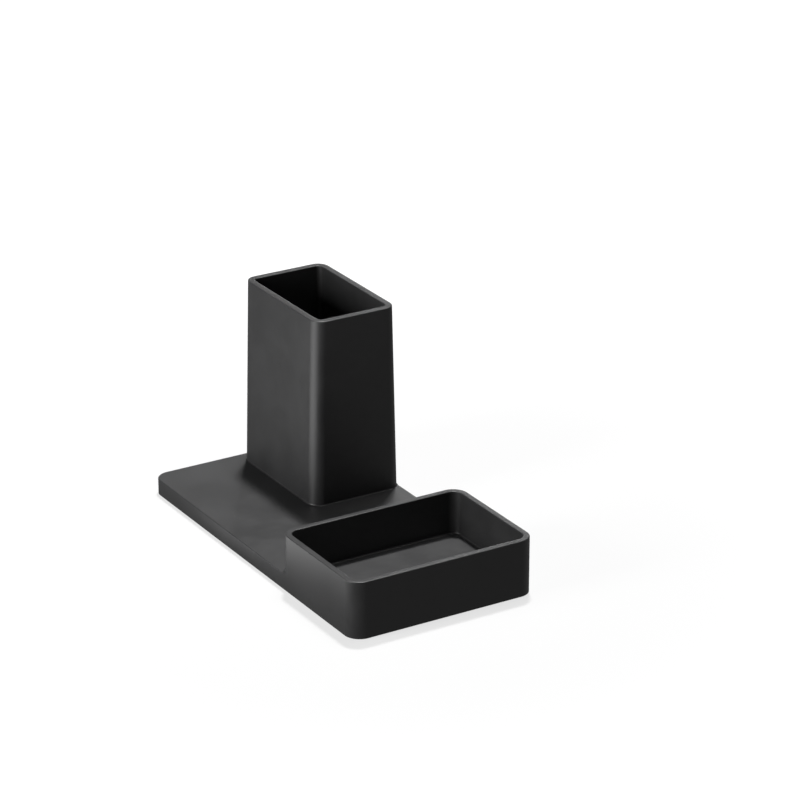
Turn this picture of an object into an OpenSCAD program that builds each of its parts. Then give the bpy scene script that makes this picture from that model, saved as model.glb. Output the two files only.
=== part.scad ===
// Pen holder: an oblong base with an open tray at its right end, and an open pen tower
// that stands on the base's left end, flush with its rear long side.
// X runs along the base towards the tray, Y across it towards the rear, and Z up.
// The origin is the middle of the base, on the surface that the feet stand on.

/* [Base] */
// Length of the base along X
base_len = 200; // [190:1:230]
// Width of the base along Y
base_wid = 100; // [94:1:120]
// Radius of the base's four corners, seen from above
base_corner_r = 8; // [6:0.5:12]
// Height of the plate's top above the base's lower edge
plate_h = 8.3; // [7.8:0.1:12]
// Thickness of the plate's top wall
plate_wall = 3; // [2.6:0.1:3.4]
// Thickness of the skirt round the base
skirt_wall = 3; // [2.6:0.1:4]
// Rounding of the plate's and the rims' outer edges
edge_r = 0.6; // [0.3:0.1:1]
// Thickness of the ribs under the plate
rib_wall = 1.5; // [1:0.1:2]
// Spacing of the ribs under the plate
rib_pitch = 16.5; // [12:0.5:24]

/* [Tray] */
// Length of the tray along X
tray_len = 69; // [60:1:80]
// Height of the tray's rim above the base's lower edge
tray_h = 29; // [20:0.5:40]
// Thickness of the tray's wall at the rim
tray_wall = 3.2; // [2.6:0.1:4]
// Height of the tray's floor above the base's lower edge
tray_floor_h = 6.7; // [6.4:0.1:9]
// Thickness of the tray's floor
tray_floor_wall = 3; // [2.6:0.1:3.2]
// How much each inner wall comes in between rim and floor
tray_draft = 0.4; // [0.1:0.1:1]
// Fillet between the tray's inner walls and its floor
tray_fillet_r = 1; // [0.6:0.1:3]
// Fillet between the plate's top and the tray's outer wall
tray_root_r = 2; // [0.5:0.1:3]

/* [Tower] */
// Length of the tower's foot along X
tower_len = 73.6; // [60:0.2:90]
// Width of the tower's foot along Y
tower_wid = 50.4; // [40:0.2:60]
// Height of the tower above the plate
tower_h = 97.2; // [80:0.2:120]
// Thickness of the tower's wall
tower_wall = 3.6; // [3:0.1:4.2]
// Radius of the tower's outer corners
tower_corner_r = 6.5; // [5.5:0.5:10]
// How much each end face leans in between foot and rim
tower_lean_x = 0.3; // [0.2:0.1:2]
// How much each long face leans in between foot and rim
tower_lean_y = 2.4; // [0.5:0.1:4]
// Distance from the base's left end to the tower's foot
tower_end_gap = 3.7; // [2:0.1:12]
// Small fillet round the tower's foot
tower_root_r = 0.7; // [0.4:0.1:1]

/* [Cup floor] */
// Height of the cup's floor above the plate
cup_floor_h = 8.5; // [7.5:0.1:12]
// Thickness of the cup's floor
cup_floor_wall = 2.5; // [2:0.1:3]
// Thickness of the skirt under the cup's floor
cup_skirt_wall = 1.8; // [1.4:0.1:2.4]
// How far the snap bead stands out of the skirt
bead_depth = 0.5; // [0.3:0.1:0.8]
// Height of the snap bead
bead_h = 1.2; // [0.8:0.1:1.6]
// Height of the bead's middle above the plate
bead_z = 3; // [2.5:0.1:3.5]
// Radius of the two pegs that locate the tower on the plate
peg_r = 2; // [1.5:0.1:2.5]
// Distance of the pegs from the cup's ends
peg_inset = 9; // [8:0.5:10]

/* [Bottom cover] */
// Thickness of the cover
cover_wall = 2.4; // [2.2:0.1:2.6]
// Height of the cover's underside above the base's lower edge
cover_rise = 0.3; // [0.1:0.1:0.5]
// Width of the ledge inside the skirt that the cover seats on
ledge_w = 1.4; // [1:0.1:1.8]

/* [Feet] */
// Radius of a foot
foot_r = 6; // [5:0.5:8]
// How far the feet lift the base's lower edge off the surface
foot_proud = 0.5; // [0.3:0.1:1.5]
// Depth of the recess that a foot is glued into
foot_recess = 1; // [0.8:0.1:1.1]
// Distance of a foot's middle from the base's sides and ends
foot_inset = 15; // [13:0.5:20]

/* [Screws] */
// Shank radius of the tower screws
tower_screw_r = 1.5; // [1.25:0.05:1.75]
// Length of the tower screws under the head
tower_screw_len = 10; // [9:0.5:10.5]
// Head radius of the tower screws
tower_screw_head_r = 2.8; // [2.5:0.1:3.2]
// Head height of the tower screws
tower_screw_head_h = 1.9; // [1.6:0.1:2]
// Distance of the tower screws from the cup's ends
tower_screw_end_inset = 16; // [14:0.5:20]
// Distance of the tower screws from the cup's sides
tower_screw_side_inset = 9; // [7.5:0.5:12]
// Shank radius of the cover screws
cover_screw_r = 1.25; // [1:0.05:1.4]
// Length of the cover screws, head included
cover_screw_len = 4.3; // [4:0.1:4.6]
// Head radius of the cover screws
cover_screw_head_r = 2.3; // [2:0.1:2.5]

/* [Hidden] */

// Where each of four like pieces lies: sign of X and sign of Y
FRONT_LEFT = [-1, -1];
FRONT_RIGHT = [1, -1];
REAR_LEFT = [-1, 1];
REAR_RIGHT = [1, 1];
CORNERS = [FRONT_LEFT, FRONT_RIGHT, REAR_LEFT, REAR_RIGHT];
// The four corners in turn, each with the angle at which its quarter circle starts
QUARTERS = [[REAR_RIGHT, 0], [REAR_LEFT, 90], [FRONT_LEFT, 180], [FRONT_RIGHT, 270]];

// Facets of corners inside a loft, and of plain round shapes
loft_fn = 48;
round_fn = 64;
// Steps of a rounded edge
edge_steps = 4;
// Overrun of all cuts, and thickness of a loft's slices
overrun = 1;
slice_h = 0.01;

// Clearance between a piece and the recess or wall that it lies in
seat_clearance = 0.15;
// Clearance round a screw's shank in a plain hole, and round its core in a pilot hole
hole_clearance = 0.2;
pilot_clearance = 0.02;
// Flare of the tower's foot: shares of its size in height, and outwards, from the plate up
flare_shares = [[0, 1], [0.3, 0.29], [1, 0]];
// Chamfer of the rims' inner edges
lip_chamfer = 0.35;
// Wall of a boss round its screw
boss_wall = 2.1;

// Heights above the surface that the feet stand on
base_z = foot_proud;
plate_z = base_z + plate_h;
plate_under_z = plate_z - plate_wall;
tray_rim_z = base_z + tray_h;
tray_floor_z = base_z + tray_floor_h;
tray_under_z = tray_floor_z - tray_floor_wall;
cover_z = base_z + cover_rise;
cover_top_z = cover_z + cover_wall;
tower_rim_z = plate_z + tower_h;
cup_floor_z = plate_z + cup_floor_h;
cup_under_z = cup_floor_z - cup_floor_wall;
foot_top_z = cover_z + foot_recess;

// Middles of the tray and of the tower
tray_x = (base_len - tray_len) / 2;
tower_x = -base_len / 2 + tower_end_gap + tower_len / 2;
tower_y = (base_wid - tower_wid) / 2;

// Places of the feet with the cover screws above them, and of the tower screws
foot_x = base_len / 2 - foot_inset;
foot_y = base_wid / 2 - foot_inset;
cup_len = tower_len - 2 * tower_wall;
cup_wid = tower_wid - 2 * tower_wall;
cup_corner_r = tower_corner_r - tower_wall;
tower_screw_x = cup_len / 2 - tower_screw_end_inset;
tower_screw_y = cup_wid / 2 - tower_screw_side_inset;
peg_x = cup_len / 2 - peg_inset;

// Bosses that the screws bite in
cover_boss_r = cover_screw_r + boss_wall;
tower_boss_r = tower_screw_r + boss_wall;
// Bevel of a countersunk head
cover_head_h = cover_screw_head_r - cover_screw_r;

// Opening under the tray's floor, inside the skirt
hollow_len = base_len - 2 * skirt_wall;
hollow_wid = base_wid - 2 * skirt_wall;
hollow_corner_r = base_corner_r - skirt_wall;
tray_hollow_x = base_len / 2 - tray_len;

// Places of a foot with its cover screw, of a tower screw, and of a peg, at a height
function foot_at(c, z) = [c[0] * foot_x, c[1] * foot_y, z];
function tower_screw_at(c, z) = [tower_x + c[0] * tower_screw_x, tower_y + c[1] * tower_screw_y, z];
function peg_at(s, z) = [tower_x + s * peg_x, tower_y, z];

// How far the tower's faces have come in at a height above the plate
function lean_x(h) = tower_lean_x * h / tower_h;
function lean_y(h) = tower_lean_y * h / tower_h;

// Rounded rectangle in the plane, about its middle
module outline(len, wid, r) {
    square([len - 2 * r, wid], center = true);
    square([len, wid - 2 * r], center = true);
    for (c = CORNERS)
        translate([c[0] * (len / 2 - r), c[1] * (wid / 2 - r)])
            circle(r = r);
}

// Upright round post or hole
module post(r, h) {
    cylinder(r = r, h = h, $fn = round_fn);
}

// Upright block with a rounded outline
module block(len, wid, r, z0, z1) {
    translate([0, 0, z0])
        linear_extrude(z1 - z0)
            outline(len, wid, r, $fn = round_fn);
}

// Thin slice of a loft, whose underside lies at height z
module slice(len, wid, r, z) {
    translate([0, 0, z])
        linear_extrude(slice_h)
            outline(len, wid, r, $fn = loft_fn);
}

// Block swept from a half section: the section, drawn outwards from a corner's axis, runs along
// the four sides, turns round the four corners, and is filled between the corners' axes
module swept_block(len, wid, r, z0, z1) {
    run_x = len - 2 * r;
    run_y = wid - 2 * r;
    for (side = [0, 1]) {
        run = side == 0 ? run_y : run_x;
        span = side == 0 ? run_x : run_y;
        rotate([90, 0, 90 * side])
            linear_extrude(run, center = true) {
                for (flip = [0, 1])
                    mirror([flip, 0])
                        translate([span / 2, 0])
                            children();
                translate([-span / 2, z0])
                    square([span, z1 - z0]);
            }
    }
    for (q = QUARTERS)
        translate([q[0][0] * run_x / 2, q[0][1] * run_y / 2, 0])
            rotate(q[1])
                rotate_extrude(angle = 90, $fn = round_fn)
                    children();
}

// Half section of an upright wall of radius r, with its top edge rounded
module soft_section(r, z0, z1, edge) {
    translate([0, z0])
        square([r, z1 - edge - z0]);
    translate([0, z0])
        square([r - edge, z1 - z0]);
    translate([r - edge, z1 - edge])
        circle(r = edge, $fn = round_fn);
}

// Half section of the tray's inside: a drafted wall, a fillet at the floor, a broken edge at the rim
module pocket_section(r) {
    low = r - tray_draft;
    f = tray_fillet_r;
    translate([0, tray_floor_z])
        square([low - f, f]);
    translate([low - f, tray_floor_z + f])
        circle(r = f, $fn = round_fn);
    polygon([
        [0, tray_floor_z + f], [low, tray_floor_z + f], [r, tray_rim_z - lip_chamfer],
        [r + lip_chamfer, tray_rim_z], [r + lip_chamfer, tray_rim_z + overrun], [0, tray_rim_z + overrun]
    ]);
}

// Concave fillet section: a right-angled corner less a circle
module fillet_section(r) {
    difference() {
        square(r);
        translate([r, r])
            circle(r = r, $fn = round_fn);
    }
}

// Fillet that runs across the plate along the foot of the tray, and round the tray's two corners there
module tray_root_fillet() {
    r = base_corner_r;
    run = base_wid - 2 * r;
    flat_wid = base_wid - 2 * edge_r;
    intersection() {
        translate([tray_x - tray_len / 2, 0, plate_z]) {
            translate([0, run / 2, 0])
                rotate([90, 0, 0])
                    mirror([1, 0, 0])
                        linear_extrude(run)
                            fillet_section(tray_root_r);
            for (s = [-1, 1])
                translate([r, s * run / 2, 0])
                    rotate(s > 0 ? 90 : 180)
                        rotate_extrude(angle = 90, $fn = round_fn)
                            translate([r, 0])
                                fillet_section(tray_root_r);
        }
        translate([-base_len, -flat_wid / 2, plate_z])
            cube([2 * base_len, flat_wid, tray_h]);
    }
}

// Ribs that hang from the plate's underside down to the cover
module ribs() {
    count_x = floor(hollow_len / rib_pitch / 2);
    count_y = floor(hollow_wid / rib_pitch / 2);
    rib_h = plate_under_z - cover_top_z + overrun;
    for (i = [-count_x:count_x])
        translate([i * rib_pitch - rib_wall / 2, -hollow_wid / 2 - overrun, cover_top_z])
            cube([rib_wall, hollow_wid + 2 * overrun, rib_h]);
    for (i = [-count_y:count_y])
        translate([-hollow_len / 2 - overrun, i * rib_pitch - rib_wall / 2, cover_top_z])
            cube([hollow_len + 2 * overrun, rib_wall, rib_h]);
}

// Round the tower screws' heads the ribs stop short
module tower_screw_wells() {
    for (c = CORNERS)
        translate(tower_screw_at(c, cover_top_z - overrun))
            post(tower_screw_head_r + rib_wall, plate_under_z - cover_top_z + overrun);
}

// Hollow underside, with ribs and with a boss over each cover screw
module underside() {
    difference() {
        union() {
            block(hollow_len, hollow_wid, hollow_corner_r, base_z - overrun, tray_under_z);
            intersection() {
                block(hollow_len, hollow_wid, hollow_corner_r, tray_under_z - overrun, plate_under_z);
                translate([-base_len, -base_wid, 0])
                    cube([base_len + tray_hollow_x, 2 * base_wid, tower_rim_z]);
            }
        }
        ribs();
        for (c = CORNERS)
            translate(foot_at(c, cover_top_z))
                post(cover_boss_r, plate_h);
    }
    tower_screw_wells();
    block(hollow_len + 2 * ledge_w, hollow_wid + 2 * ledge_w, hollow_corner_r + ledge_w,
          base_z - overrun, cover_top_z);
}

// Plate and tray, one moulding
module base_shell() {
    plate_len = base_len - tray_len / 2;
    pocket_r = base_corner_r - tray_wall;
    pilot_top = foot_top_z + cover_screw_len + hole_clearance;
    color("#26262a")
    difference() {
        union() {
            translate([(plate_len - base_len) / 2, 0, 0])
                swept_block(plate_len, base_wid, base_corner_r, base_z, plate_z)
                    soft_section(base_corner_r, base_z, plate_z, edge_r);
            translate([tray_x, 0, 0])
                swept_block(tray_len, base_wid, base_corner_r, base_z, tray_rim_z)
                    soft_section(base_corner_r, base_z, tray_rim_z, edge_r);
            tray_root_fillet();
        }
        translate([tray_x, 0, 0])
            swept_block(tray_len - 2 * tray_wall, base_wid - 2 * tray_wall, pocket_r,
                        tray_floor_z, tray_rim_z + overrun)
                pocket_section(pocket_r);
        underside();
        for (c = CORNERS) {
            translate(foot_at(c, cover_top_z - overrun))
                post(cover_screw_r + pilot_clearance, pilot_top - cover_top_z + overrun);
            translate(tower_screw_at(c, base_z))
                post(tower_screw_r + hole_clearance, plate_h + overrun);
        }
        for (s = [-1, 1])
            translate(peg_at(s, base_z))
                post(peg_r + hole_clearance / 2, plate_h + overrun);
    }
}

// Loft that follows the tower's faces, set in from them, between two heights above the plate
module tower_loft(inset, r, h0, h1) {
    hull()
        for (h = [h0, h1])
            slice(tower_len - 2 * (inset + lean_x(h)), tower_wid - 2 * (inset + lean_y(h)), r,
                  plate_z + h - (h == h1 ? slice_h : 0));
}

// The tower's outside, with a rounded rim
module tower_outside() {
    hull() {
        slice(tower_len, tower_wid, tower_corner_r, plate_z);
        for (i = [0:edge_steps]) {
            a = 90 * i / edge_steps;
            h = tower_h - edge_r + edge_r * sin(a);
            inset = edge_r * (1 - cos(a));
            slice(tower_len - 2 * (inset + lean_x(h)), tower_wid - 2 * (inset + lean_y(h)),
                  tower_corner_r - inset, plate_z + h - slice_h);
        }
    }
}

// Small concave flare round the tower's foot, which stops where the plate's rear edge is rounded
module tower_flare() {
    rear_y = base_wid / 2 - edge_r;
    intersection() {
        translate([tower_x, tower_y, 0])
            for (i = [0:len(flare_shares) - 2])
                hull()
                    for (step = [flare_shares[i], flare_shares[i + 1]]) {
                        out = 2 * tower_root_r * step[1];
                        slice(tower_len + out, tower_wid + out, tower_corner_r + out / 2,
                              plate_z + tower_root_r * step[0]);
                    }
        translate([-base_len, rear_y - 2 * base_wid, 0])
            cube([2 * base_len, 2 * base_wid, tower_rim_z]);
    }
}

// The tower's inside, drafted like its outside, with a broken edge at the rim
module tower_bore() {
    rim_len = cup_len - 2 * tower_lean_x;
    rim_wid = cup_wid - 2 * tower_lean_y;
    past_x = 2 * lean_x(overrun);
    past_y = 2 * lean_y(overrun);
    flare = 4 * lip_chamfer;
    hull() {
        slice(cup_len + past_x, cup_wid + past_y, cup_corner_r, plate_z - overrun);
        slice(rim_len - past_x, rim_wid - past_y, cup_corner_r, tower_rim_z + overrun);
    }
    hull() {
        slice(rim_len, rim_wid, cup_corner_r, tower_rim_z - lip_chamfer);
        slice(rim_len + flare, rim_wid + flare, cup_corner_r + flare / 2, tower_rim_z + lip_chamfer);
    }
}

// Groove inside the tower's foot that the floor's snap bead clicks into
module snap_groove() {
    groove_h = bead_h + 2 * seat_clearance;
    depth = bead_depth + seat_clearance;
    block(cup_len + 2 * (depth - lean_x(bead_z)), cup_wid + 2 * (depth - lean_y(bead_z)),
          cup_corner_r + depth, plate_z + bead_z - groove_h / 2, plate_z + bead_z + groove_h / 2);
}

// Open tube with leaning faces, a snap groove inside its foot and a small flare outside it
module pen_tower() {
    color("#26262a")
    difference() {
        union() {
            translate([tower_x, tower_y, 0])
                tower_outside();
            tower_flare();
        }
        translate([tower_x, tower_y, 0]) {
            tower_bore();
            snap_groove();
        }
    }
}

// Shallow upturned lid that closes the tower's foot, with a snap bead round its skirt
module floor_pan() {
    skirt_in = 2 * (cup_skirt_wall + seat_clearance);
    bead_len = cup_len + 2 * (bead_depth - lean_x(bead_z));
    bead_wid = cup_wid + 2 * (bead_depth - lean_y(bead_z));
    bead_low = plate_z + bead_z - bead_h / 2;
    translate([tower_x, tower_y, 0])
        difference() {
            union() {
                tower_loft(tower_wall + seat_clearance, cup_corner_r - seat_clearance, 0, cup_floor_h);
                block(bead_len, bead_wid, cup_corner_r + bead_depth, bead_low, bead_low + bead_h);
            }
            block(cup_len - skirt_in, cup_wid - skirt_in, cup_corner_r / 2, plate_z - overrun, cup_under_z);
        }
}

// Floor of the pen cup: the pan with four bosses for the screws, and two posts with pegs
module cup_floor() {
    boss_h = cup_under_z - plate_z + slice_h;
    pilot_top = plate_under_z + tower_screw_len + hole_clearance;
    color("#2b2b2f")
    difference() {
        union() {
            floor_pan();
            for (c = CORNERS)
                translate(tower_screw_at(c, plate_z))
                    post(tower_boss_r, boss_h);
            for (s = [-1, 1]) {
                translate(peg_at(s, plate_z))
                    post(tower_boss_r, boss_h);
                translate(peg_at(s, plate_under_z))
                    post(peg_r, plate_wall + overrun);
            }
        }
        for (c = CORNERS)
            translate(tower_screw_at(c, plate_z - overrun))
                post(tower_screw_r + pilot_clearance, pilot_top - plate_z + overrun);
    }
}

// Flat cover that lies on the ledge inside the skirt, with a recess for each foot
module bottom_cover() {
    inset = skirt_wall - ledge_w + seat_clearance;
    color("#202023")
    difference() {
        block(base_len - 2 * inset, base_wid - 2 * inset, base_corner_r - inset, cover_z, cover_top_z);
        for (c = CORNERS)
            translate(foot_at(c, 0)) {
                translate([0, 0, cover_z - overrun])
                    post(foot_r + seat_clearance, foot_recess + overrun);
                translate([0, 0, cover_z])
                    post(cover_screw_r + hole_clearance, cover_wall + overrun);
                translate([0, 0, foot_top_z])
                    cylinder(r1 = cover_screw_head_r + hole_clearance, r2 = cover_screw_r + hole_clearance,
                             h = cover_head_h, $fn = round_fn);
            }
    }
}

// Rubber pad with a soft lower edge; c says at which corner
module foot(c) {
    height = foot_top_z;
    edge = foot_proud / 2;
    color("#161616")
    translate(foot_at(c, 0))
        rotate_extrude($fn = round_fn)
            polygon([
                [0, 0], [foot_r - edge, 0], [foot_r, edge],
                [foot_r, height], [0, height]
            ]);
}

// Countersunk screw, head down; c says at which corner
module cover_screw(c) {
    tip = cover_screw_r / 2;
    color("#8d8f94")
    translate(foot_at(c, foot_top_z))
        rotate_extrude($fn = round_fn)
            polygon([
                [0, 0], [cover_screw_head_r, 0], [cover_screw_r, cover_head_h],
                [cover_screw_r, cover_screw_len - tip], [0, cover_screw_len]
            ]);
}

// Pan-head screw, head down, that bites in a boss of the cup floor; c says at which corner
module tower_screw(c) {
    tip = tower_screw_r / 2;
    dome = tower_screw_head_h / 2;
    color("#8d8f94")
    translate(tower_screw_at(c, plate_under_z))
        rotate_extrude($fn = round_fn)
            polygon([
                [0, -tower_screw_head_h], [tower_screw_head_r - dome, -tower_screw_head_h],
                [tower_screw_head_r, -dome], [tower_screw_head_r, 0], [tower_screw_r, 0],
                [tower_screw_r, tower_screw_len - tip], [0, tower_screw_len]
            ]);
}

base_shell();
pen_tower();
cup_floor();
bottom_cover();
foot(FRONT_LEFT);  // foot_front_left
foot(FRONT_RIGHT);  // foot_front_right
foot(REAR_LEFT);  // foot_rear_left
foot(REAR_RIGHT);  // foot_rear_right
cover_screw(FRONT_LEFT);  // cover_screw_front_left
cover_screw(FRONT_RIGHT);  // cover_screw_front_right
cover_screw(REAR_LEFT);  // cover_screw_rear_left
cover_screw(REAR_RIGHT);  // cover_screw_rear_right
tower_screw(FRONT_LEFT);  // tower_screw_front_left
tower_screw(FRONT_RIGHT);  // tower_screw_front_right
tower_screw(REAR_LEFT);  // tower_screw_rear_left
tower_screw(REAR_RIGHT);  // tower_screw_rear_right
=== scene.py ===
"""Pen holder in satin black plastic: an oblong base with an open tray, and a tall open pen cup.

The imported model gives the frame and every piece's place. This script models the pieces with their
fine edges, gives each its finish, and sets up a pale floor, soft light and the camera.
"""

import logging
import math
from contextlib import contextmanager
from dataclasses import dataclass, replace
from enum import Enum, auto
from functools import lru_cache
from typing import Any, Callable, Dict, Iterable, Iterator, List, Sequence, Tuple

import bmesh
import bpy
from bpy.types import ID, Material, Node, NodeSocket, NodeTree, Object
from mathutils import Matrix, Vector


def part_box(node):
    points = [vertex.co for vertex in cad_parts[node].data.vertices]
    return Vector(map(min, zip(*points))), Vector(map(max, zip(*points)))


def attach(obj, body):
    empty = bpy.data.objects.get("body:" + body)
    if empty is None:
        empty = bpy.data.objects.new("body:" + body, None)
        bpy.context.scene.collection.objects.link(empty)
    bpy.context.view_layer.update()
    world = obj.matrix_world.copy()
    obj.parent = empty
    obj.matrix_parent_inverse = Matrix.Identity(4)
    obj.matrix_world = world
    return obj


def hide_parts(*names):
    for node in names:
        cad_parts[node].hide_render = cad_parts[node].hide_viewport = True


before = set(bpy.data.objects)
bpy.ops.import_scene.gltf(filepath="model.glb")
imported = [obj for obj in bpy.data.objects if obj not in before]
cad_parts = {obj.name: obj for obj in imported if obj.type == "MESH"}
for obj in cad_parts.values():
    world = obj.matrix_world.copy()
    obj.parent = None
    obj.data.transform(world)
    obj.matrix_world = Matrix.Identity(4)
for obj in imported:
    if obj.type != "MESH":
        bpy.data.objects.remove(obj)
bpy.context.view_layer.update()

log = logging.getLogger("pen_holder")

Pair = Tuple[float, float]
Colour = Tuple[float, float, float]

MM = 0.001
ROOT_BODY = "root"
# Steps of a rounded corner seen from above
CORNER_STEPS = 16
# Steps of a rounded edge, and the angles between them
EDGE_STEPS = 6
EDGE_TURNS = [math.pi / 2 * i / EDGE_STEPS for i in range(EDGE_STEPS + 1)]
# Segments of a round piece
ROUND_STEPS = 48
# Edges that turn by more than this stay crisp
CRISP_ANGLE = math.radians(32)
# How far a flat face leads the shading along its edges, of 100
FLAT_LEAD = 100
# Points closer than this are one
WELD = 0.0002 * MM
# Points closer than this to a cutting plane lie on it
ON_PLANE = 0.0001 * MM
# How far a cutter reaches past what it cuts
OVERRUN = 1 * MM


class Joining(Enum):
    """How two solids are joined: the names that the Boolean modifier uses."""

    ADD = "UNION"
    CUT = "DIFFERENCE"


class Element(Enum):
    """What edit mode selects: the names of its selection modes."""

    POINT = "VERT"
    EDGE = "EDGE"
    FACE = "FACE"


class Corner(Enum):
    """The four corners of the base: left and right in X, front and rear in Y."""

    FRONT_LEFT = auto()
    FRONT_RIGHT = auto()
    REAR_LEFT = auto()
    REAR_RIGHT = auto()

    def node(self, kind: str) -> str:
        """The name of the node of a kind at this corner."""
        return f"{kind}_{self.name.lower()}"


class Head(Enum):
    """The two kinds of screw head, by the head's radius."""

    COUNTERSUNK = 2.3 * MM
    PAN = 2.8 * MM


@dataclass(frozen=True)
class Plan:
    """A rounded rectangle seen from above, in metres."""

    x0: float
    x1: float
    y0: float
    y1: float
    radius: float

    @property
    def middle(self) -> Pair:
        """The rectangle's middle."""
        return (self.x0 + self.x1) / 2, (self.y0 + self.y1) / 2

    @property
    def size(self) -> Pair:
        """The rectangle's length along X and along Y."""
        return self.x1 - self.x0, self.y1 - self.y0

    def grown(self, by: float) -> "Plan":
        """The outline at a distance outside this one, or inside for a distance below zero."""
        return Plan(self.x0 - by, self.x1 + by, self.y0 - by, self.y1 + by, self.radius + by)


def pick_only(piece: Object) -> None:
    """Leaves edit mode, and makes one object the only selected and the active one.

    Args:
        piece: the object.
    """
    if bpy.context.mode != "OBJECT":
        bpy.ops.object.mode_set(mode="OBJECT")
    bpy.ops.object.select_all(action="DESELECT")
    piece.select_set(True)
    bpy.context.view_layer.objects.active = piece


def begin(name: str, add: Callable[..., Any], **sizes: Any) -> Object:
    """Adds a primitive to shape, with nothing else selected and its place in its mesh.

    Args:
        name: the new object's name.
        add: the operator that adds it.
        **sizes: what the operator is given.

    Returns:
        The object.
    """
    bpy.ops.object.select_all(action="DESELECT")
    add(**sizes)
    piece = bpy.context.active_object
    piece.name = piece.data.name = name
    bpy.ops.object.transform_apply(location=True, rotation=False, scale=False)
    return piece


@contextmanager
def editing(piece: Object, element: Element = Element.FACE) -> Iterator[bmesh.types.BMesh]:
    """Edit mode on one object, with everything selected.

    Args:
        piece: the object.
        element: the selection mode.

    Yields:
        The mesh in edit mode.
    """
    pick_only(piece)
    bpy.ops.object.mode_set(mode="EDIT")
    bpy.ops.mesh.select_mode(type=element.value)
    bpy.ops.mesh.select_all(action="SELECT")
    yield bmesh.from_edit_mesh(piece.data)
    bpy.ops.object.mode_set(mode="OBJECT")


def select(piece: Object, element: Element, wanted: Callable[[Any], bool]) -> None:
    """Selects the edges or faces that pass a test, and no others, in edit mode.

    Args:
        piece: the object that is in edit mode.
        element: EDGE or FACE.
        wanted: the test of one edge or face.
    """
    bpy.ops.mesh.select_mode(type=element.value)
    mesh = bmesh.from_edit_mesh(piece.data)
    candidates = list(mesh.edges if element is Element.EDGE else mesh.faces)
    for candidate in candidates:
        candidate.select_set(False)
    for candidate in filter(wanted, candidates):
        candidate.select_set(True)
    bmesh.update_edit_mesh(piece.data)


def is_open(edge: bmesh.types.BMEdge) -> bool:
    """Whether an edge has a face on one side only."""
    return len(edge.link_faces) == 1


def modify(piece: Object, kind: str, **settings: Any) -> None:
    """Puts a modifier on a piece and applies it.

    Args:
        piece: the piece.
        kind: the modifier's type.
        **settings: the modifier's settings.
    """
    modifier = piece.modifiers.new(kind.lower(), kind)
    for setting, value in settings.items():
        setattr(modifier, setting, value)
    pick_only(piece)
    bpy.ops.object.modifier_apply(modifier=modifier.name)


def weld(piece: Object) -> None:
    """Merges a piece's points that lie on top of each other."""
    with editing(piece):
        bpy.ops.mesh.remove_doubles(threshold=WELD)


def face_out(piece: Object) -> None:
    """Turns a closed piece's faces outwards."""
    with editing(piece):
        bpy.ops.mesh.normals_make_consistent(inside=False)


def join_solids(piece: Object, other: Object, how: Joining) -> None:
    """Adds another solid to a piece, or cuts it out, removes the other and welds the seams.

    Args:
        piece: the piece that stays.
        other: the solid that is used up.
        how: whether it is added or cut out.
    """
    modify(piece, "BOOLEAN", operation=how.value, solver="EXACT", object=other)
    bpy.data.objects.remove(other)
    weld(piece)


def gather(parts: Sequence[Object]) -> Object:
    """Makes one object of solids that stand apart, so that one Boolean takes them all.

    Args:
        parts: the solids.

    Returns:
        The object, which is the first of them.
    """
    pick_only(parts[0])
    for part in parts[1:]:
        part.select_set(True)
    bpy.ops.object.join()
    return parts[0]


def dress(piece: Object, finish: Material) -> None:
    """Closes, turns out and smooths a modelled piece, and puts its finish on.

    Args:
        piece: the piece.
        finish: the material that it wears all over.
    """
    weld(piece)
    face_out(piece)
    bpy.ops.object.shade_smooth_by_angle(angle=CRISP_ANGLE)
    modify(piece, "WEIGHTED_NORMAL", keep_sharp=True, weight=FLAT_LEAD)
    piece.data.materials.clear()
    piece.data.materials.append(finish)
    mesh = bmesh.new()
    mesh.from_mesh(piece.data)
    faults = sum(len(edge.link_faces) != 2 for edge in mesh.edges)
    mesh.free()
    log.info("%s: %d faces, %d open edges", piece.name, len(piece.data.polygons), faults)


def report(piece: Object, node: str) -> None:
    """Reports a finished piece: the body it rides on and its node.

    Args:
        piece: the piece.
        node: the node that it stands for.
    """
    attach(piece, ROOT_BODY)
    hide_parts(node)
    log.info("%s stands for %s", piece.name, node)


def spread(piece: Object, kind: str, slot: str, places: Dict[Corner, Vector]) -> None:
    """Copies a finished piece from the front left corner to the other three, and reports all four.

    Args:
        piece: the piece at the front left corner.
        kind: what the nodes' names start with.
        slot: not used.
        places: the piece's place at each corner.
    """
    report(piece, Corner.FRONT_LEFT.node(kind))
    for corner in list(Corner)[1:]:
        pick_only(piece)
        bpy.ops.object.duplicate(linked=False)
        twin = bpy.context.active_object
        twin.name = twin.data.name = f"{corner.node(kind)}_visual"
        with editing(twin):
            bpy.ops.transform.translate(value=places[corner] - places[Corner.FRONT_LEFT])
        report(twin, corner.node(kind))


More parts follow.
